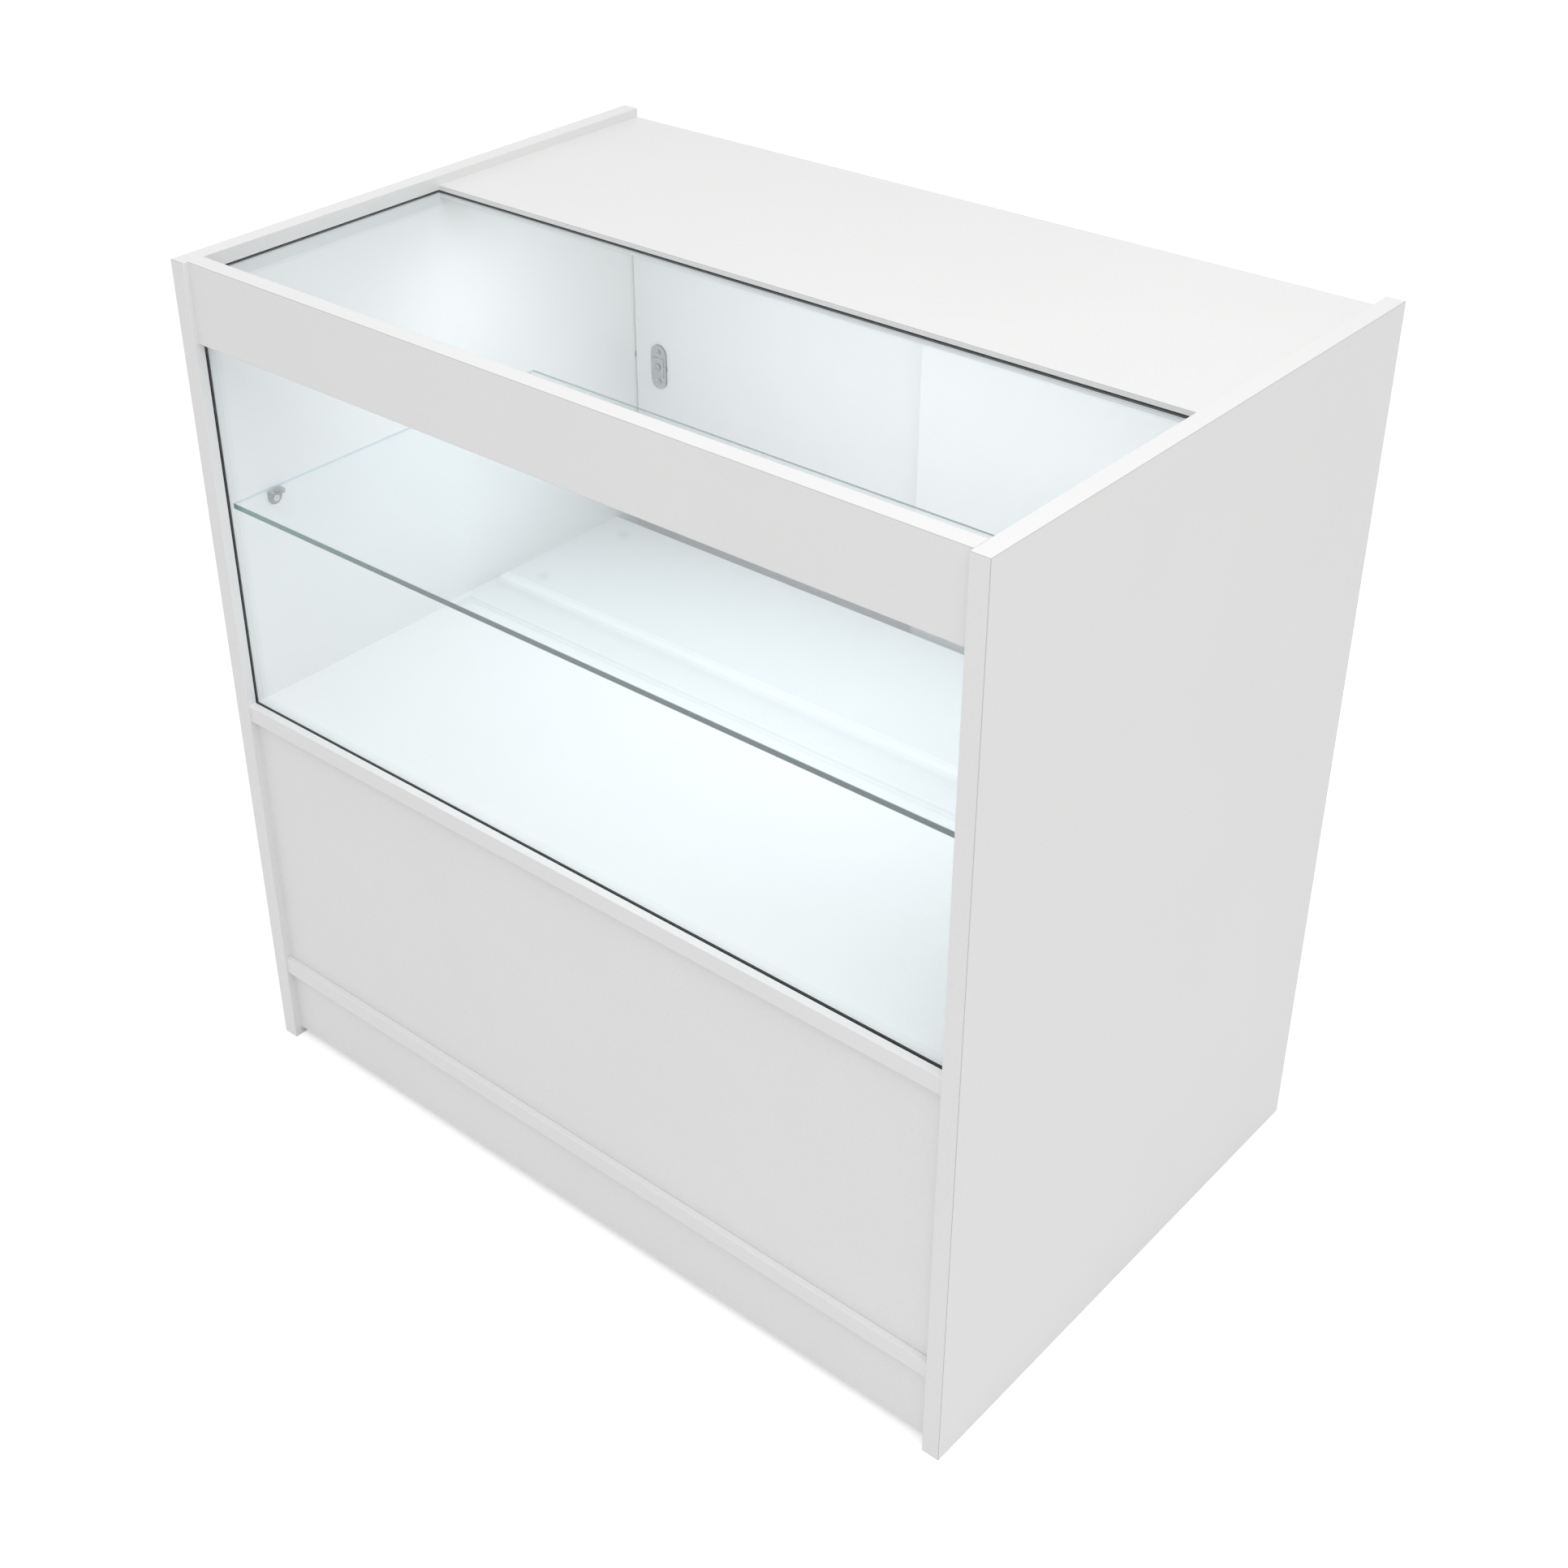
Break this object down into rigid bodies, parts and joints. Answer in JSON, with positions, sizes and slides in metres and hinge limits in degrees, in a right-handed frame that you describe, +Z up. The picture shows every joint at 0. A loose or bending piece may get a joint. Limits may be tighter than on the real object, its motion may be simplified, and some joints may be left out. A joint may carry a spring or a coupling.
{
  "type": "shop display counter",
  "caption": "Free-standing white shop counter with a glass front and top, a glass shelf, a closed storage space and lockable sliding doors at the back",
  "frame": {"origin": "on the floor, in the middle of the footprint", "axes": "+Z up, +Y to the back, where the doors are, +X to the right seen from the front"},
  "size_m": [0.9, 0.598, 0.9],
  "materials": {
    "white_melamine": "white melamine-faced board, fine speckle, satin",
    "door_melamine": "white melamine-faced board, satin",
    "clear_glass": "clear float glass with ground edges",
    "black_rubber": "black glazing rubber",
    "bracket_metal": "satin nickel plate",
    "clear_pad": "clear soft plastic",
    "screw_steel": "bright zinc plate",
    "fitting_zinc": "die-cast zinc",
    "dowel_wood": "beech",
    "track_aluminium": "extruded aluminium",
    "led_aluminium": "satin anodised aluminium",
    "led_board": "white circuit board",
    "led_chip": "phosphor yellow",
    "led_diffuser": "frosted plastic",
    "grey_plastic": "moulded grey plastic",
    "nylon": "white nylon",
    "lock_nickel": "satin nickel plate on zinc",
    "pull_metal": "satin nickel plate"
  },
  "bodies": {
    "carcass": {"side_panel_left": "white_melamine", "side_panel_right": "white_melamine", "front_fascia": "white_melamine", "top_board": "white_melamine", "display_floor": "white_melamine", "bottom_board": "white_melamine", "lower_front_panel": "white_melamine", "front_plinth": "white_melamine", "rear_plinth": "white_melamine", "top_glass": "clear_glass", "top_glass_gasket": "black_rubber", "front_glass": "clear_glass", "front_glass_gasket": "black_rubber", "glass_shelf": "clear_glass", "shelf_brackets": "bracket_metal", "shelf_bracket_pads": "clear_pad", "shelf_bracket_screws": "screw_steel", "cam_housings": "fitting_zinc", "cam_bolts": "screw_steel", "wood_dowels": "dowel_wood", "bottom_track": "track_aluminium", "bottom_track_screws": "screw_steel", "top_guide": "track_aluminium", "top_guide_screws": "screw_steel", "led_channel": "led_aluminium", "led_screws": "screw_steel", "led_board": "led_board", "led_chips": "led_chip", "led_diffuser": "led_diffuser", "led_end_caps": "grey_plastic", "led_inlet": "grey_plastic", "strike_bushes": "grey_plastic"},
    "door_left": {"door_leaf_left": "door_melamine", "door_pull_left": "pull_metal", "roller_housings_left": "grey_plastic", "roller_axles_left": "screw_steel", "guide_pins_left": "nylon", "lock_case_left": "lock_nickel", "lock_screws_left": "screw_steel"},
    "roller_left_outer": {"roller_left_outer": "nylon"},
    "roller_left_middle": {"roller_left_middle": "nylon"},
    "lock_plug_left": {"lock_plug_left": "lock_nickel", "lock_spindle_cap_left": "lock_nickel"},
    "lock_bolt_left": {"lock_bolt_left": "screw_steel"},
    "door_right": {"door_leaf_right": "door_melamine", "door_pull_right": "pull_metal", "roller_housings_right": "grey_plastic", "roller_axles_right": "screw_steel", "guide_pins_right": "nylon", "lock_case_right": "lock_nickel", "lock_screws_right": "screw_steel"},
    "roller_right_outer": {"roller_right_outer": "nylon"},
    "roller_right_middle": {"roller_right_middle": "nylon"},
    "lock_plug_right": {"lock_plug_right": "lock_nickel", "lock_spindle_cap_right": "lock_nickel"},
    "lock_bolt_right": {"lock_bolt_right": "screw_steel"}
  },
  "joints": [
    {"name": "door_left_slide", "type": "slide", "parent": "carcass", "child": "door_left", "axis": [1, 0, 0], "range_m": [0, 0.411]},
    {"name": "roller_left_outer_spin", "type": "hinge", "parent": "door_left", "child": "roller_left_outer", "pos_m": [-0.3705, 0.291, 0.1218], "axis": [0, 1, 0], "range_deg": [0, 3150]},
    {"name": "roller_left_middle_spin", "type": "hinge", "parent": "door_left", "child": "roller_left_middle", "pos_m": [-0.0405, 0.291, 0.1218], "axis": [0, 1, 0], "range_deg": [0, 3150]},
    {"name": "lock_bolt_left_slide", "type": "slide", "parent": "door_left", "child": "lock_bolt_left", "axis": [-1, 0, 0], "range_m": [0, 0.00665]},
    {"name": "lock_plug_left_turn", "type": "hinge", "parent": "door_left", "child": "lock_plug_left", "pos_m": [-0.395, 0.291, 0.615], "axis": [0, -1, 0], "range_deg": [0, 90]},
    {"name": "door_right_slide", "type": "slide", "parent": "carcass", "child": "door_right", "axis": [-1, 0, 0], "range_m": [0, 0.411]},
    {"name": "roller_right_outer_spin", "type": "hinge", "parent": "door_right", "child": "roller_right_outer", "pos_m": [0.3705, 0.269, 0.1218], "axis": [0, -1, 0], "range_deg": [0, 3150]},
    {"name": "roller_right_middle_spin", "type": "hinge", "parent": "door_right", "child": "roller_right_middle", "pos_m": [0.0405, 0.269, 0.1218], "axis": [0, -1, 0], "range_deg": [0, 3150]},
    {"name": "lock_bolt_right_slide", "type": "slide", "parent": "door_right", "child": "lock_bolt_right", "axis": [1, 0, 0], "range_m": [0, 0.00665]},
    {"name": "lock_plug_right_turn", "type": "hinge", "parent": "door_right", "child": "lock_plug_right", "pos_m": [0.395, 0.269, 0.615], "axis": [0, 1, 0], "range_deg": [0, 90]}
  ],
  "couplings": [
    {"joint": "roller_left_outer_spin", "follows": "door_left_slide", "rad_per_m": 133.33},
    {"joint": "roller_left_middle_spin", "follows": "door_left_slide", "rad_per_m": 133.33},
    {"joint": "lock_plug_left_turn", "follows": "lock_bolt_left_slide", "rad_per_m": 236.32},
    {"joint": "roller_right_outer_spin", "follows": "door_right_slide", "rad_per_m": 133.33},
    {"joint": "roller_right_middle_spin", "follows": "door_right_slide", "rad_per_m": 133.33},
    {"joint": "lock_plug_right_turn", "follows": "lock_bolt_right_slide", "rad_per_m": 236.32}
  ]
}
